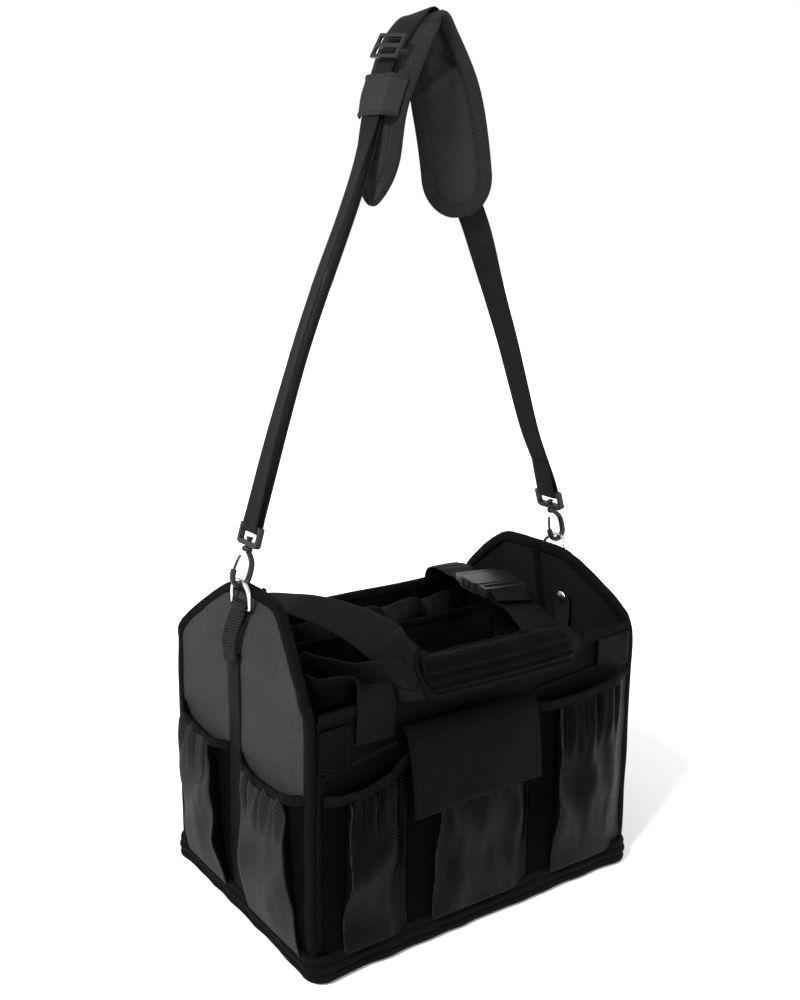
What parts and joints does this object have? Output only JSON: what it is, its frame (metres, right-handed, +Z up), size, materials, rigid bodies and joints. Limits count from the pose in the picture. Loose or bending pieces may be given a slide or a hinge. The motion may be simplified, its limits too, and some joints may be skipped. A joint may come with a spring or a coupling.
{
  "type": "tool storage caddy",
  "caption": "Open soft tote for hand tools, with pockets on all sides, inner dividers, a padded carry grip with a side-release buckle, and a clip-on shoulder strap with a curved pad.",
  "frame": {"origin": "centre of the bounding box, on the floor under the tray", "axes": "+Z up, +X to the right end seen from the front, front panel faces -Y"},
  "size_m": [0.377, 0.297, 0.7799],
  "materials": {
    "charcoal_fabric": "charcoal woven polyester, matt, diagonal weave",
    "black_fabric": "black woven polyester, matt with a soft sheen on folds",
    "black_webbing": "ribbed black webbing and grosgrain tape",
    "black_plastic": "moulded black plastic, semi-matt",
    "steel": "bright nickel-plated wire"
  },
  "bodies": {
    "caddy": {"back_centre_pocket": "black_fabric", "back_left_corner": "black_webbing", "back_left_handle_web": "black_webbing", "back_left_pocket": "black_fabric", "back_panel": "black_fabric", "back_right_corner": "black_webbing", "back_right_handle_web": "black_webbing", "back_right_pocket": "black_fabric", "back_rim_binding": "black_webbing", "base_board": "black_plastic", "base_piping": "black_webbing", "base_tray": "black_fabric", "buckle_anchor_web": "black_webbing", "buckle_socket": "black_plastic", "cross_divider": "black_fabric", "front_centre_pocket": "black_fabric", "front_left_corner": "black_webbing", "front_left_handle_web": "black_webbing", "front_left_pocket": "black_fabric", "front_panel": "black_fabric", "front_right_corner": "black_webbing", "front_right_handle_web": "black_webbing", "front_right_pocket": "black_fabric", "front_rim_binding": "black_webbing", "left_end_back_pocket": "charcoal_fabric", "left_end_binding": "black_webbing", "left_end_front_pocket": "charcoal_fabric", "left_end_panel": "charcoal_fabric", "left_end_web": "black_webbing", "left_ring_tab": "black_webbing", "long_divider": "black_fabric", "right_end_back_pocket": "charcoal_fabric", "right_end_binding": "black_webbing", "right_end_front_pocket": "charcoal_fabric", "right_end_panel": "charcoal_fabric", "right_end_web": "black_webbing", "right_ring_tab": "black_webbing", "snap_strap": "black_webbing", "tool_loop_band": "black_webbing"},
    "front_flap": {"front_flap": "black_fabric"},
    "back_flap": {"back_flap": "black_fabric"},
    "left_ring": {"left_d_ring": "steel"},
    "right_ring": {"right_d_ring": "steel"},
    "shoulder_strap": {"left_strap_web": "black_webbing", "right_strap_web": "black_webbing", "shoulder_pad": "charcoal_fabric", "left_pad_sleeve": "charcoal_fabric", "right_pad_sleeve": "charcoal_fabric", "left_swivel_eye": "black_plastic", "right_swivel_eye": "black_plastic"},
    "left_snap_hook": {"left_hook": "black_plastic"},
    "right_snap_hook": {"right_hook": "black_plastic"},
    "left_gate": {"left_hook_gate": "steel"},
    "right_gate": {"right_hook_gate": "steel"},
    "handle": {"handle_wrap": "black_fabric", "handle_core_web": "black_webbing"},
    "buckle_plug": {"buckle_plug": "black_plastic"},
    "buckle_left_arm": {"buckle_left_arm": "black_plastic"},
    "buckle_right_arm": {"buckle_right_arm": "black_plastic"},
    "strap_slider": {"strap_slider": "black_plastic"}
  },
  "joints": [
    {"name": "front_flap_lift", "type": "hinge", "parent": "caddy", "child": "front_flap", "pos_m": [-0.017, -0.1272, 0.207], "axis": [-1, 0, 0], "range_deg": [0, 105]},
    {"name": "back_flap_lift", "type": "hinge", "parent": "caddy", "child": "back_flap", "pos_m": [0.017, 0.1272, 0.207], "axis": [1, 0, 0], "range_deg": [0, 105]},
    {"name": "left_ring_pivot", "type": "hinge", "parent": "caddy", "child": "left_ring", "pos_m": [-0.163, 0.016, 0.283], "axis": [0, 1, 0], "range_deg": [-0.5, 1.5]},
    {"name": "right_ring_pivot", "type": "hinge", "parent": "caddy", "child": "right_ring", "pos_m": [0.168, -0.016, 0.283], "axis": [0, 1, 0], "range_deg": [-1.5, 0.5]},
    {"name": "strap_swing", "type": "hinge", "parent": "caddy", "child": "shoulder_strap", "pos_m": [0.00305, 0, 0.29091], "axis": [0.9954, -0.0956, -0.0005], "range_deg": [-28, 28]},
    {"name": "left_hook_swivel", "type": "hinge", "parent": "shoulder_strap", "child": "left_snap_hook", "pos_m": [-0.16467, 0.016, 0.30694], "axis": [0.2756, 0, 0.9613], "range_deg": [-12, 12]},
    {"name": "right_hook_swivel", "type": "hinge", "parent": "shoulder_strap", "child": "right_snap_hook", "pos_m": [0.17299, -0.016, 0.30648], "axis": [-0.309, 0, 0.9511], "range_deg": [-12, 12]},
    {"name": "left_gate_open", "type": "hinge", "parent": "left_snap_hook", "child": "left_gate", "pos_m": [-0.16391, 0.016, 0.32919], "axis": [0, -1, 0], "range_deg": [0, 25], "stiffness_Nm_per_rad": 0.05},
    {"name": "right_gate_open", "type": "hinge", "parent": "right_snap_hook", "child": "right_gate", "pos_m": [0.16118, -0.016, 0.32535], "axis": [0, -1, 0], "range_deg": [0, 25], "stiffness_Nm_per_rad": 0.05},
    {"name": "handle_lift", "type": "slide", "parent": "caddy", "child": "handle", "axis": [0, 0.3489, 0.9371], "range_m": [0, 0.08], "deforming": ["front_left_handle_web", "back_left_handle_web", "front_right_handle_web"]},
    {"name": "buckle_release", "type": "slide", "parent": "caddy", "child": "buckle_plug", "axis": [-0.1898, -0.9818, 0], "range_m": [0, 0.01], "stiffness_N_per_m": 200, "deforming": ["back_right_handle_web"]},
    {"name": "buckle_right_arm_squeeze", "type": "hinge", "parent": "buckle_plug", "child": "buckle_right_arm", "pos_m": [0.12235, -0.00189, 0.258], "axis": [0, 0, 1], "range_deg": [0, 12]},
    {"name": "buckle_left_arm_squeeze", "type": "hinge", "parent": "buckle_plug", "child": "buckle_left_arm", "pos_m": [0.09977, 0.00248, 0.258], "axis": [0, 0, 1], "range_deg": [-12, 0]},
    {"name": "slider_adjust", "type": "slide", "parent": "shoulder_strap", "child": "strap_slider", "axis": [0.4627, -0.0431, 0.8855], "range_m": [-0.002, 0.002]}
  ],
  "couplings": [
    {"joint": "buckle_right_arm_squeeze", "follows": "buckle_release", "rad_per_m": 18},
    {"joint": "buckle_left_arm_squeeze", "follows": "buckle_release", "rad_per_m": -18}
  ]
}
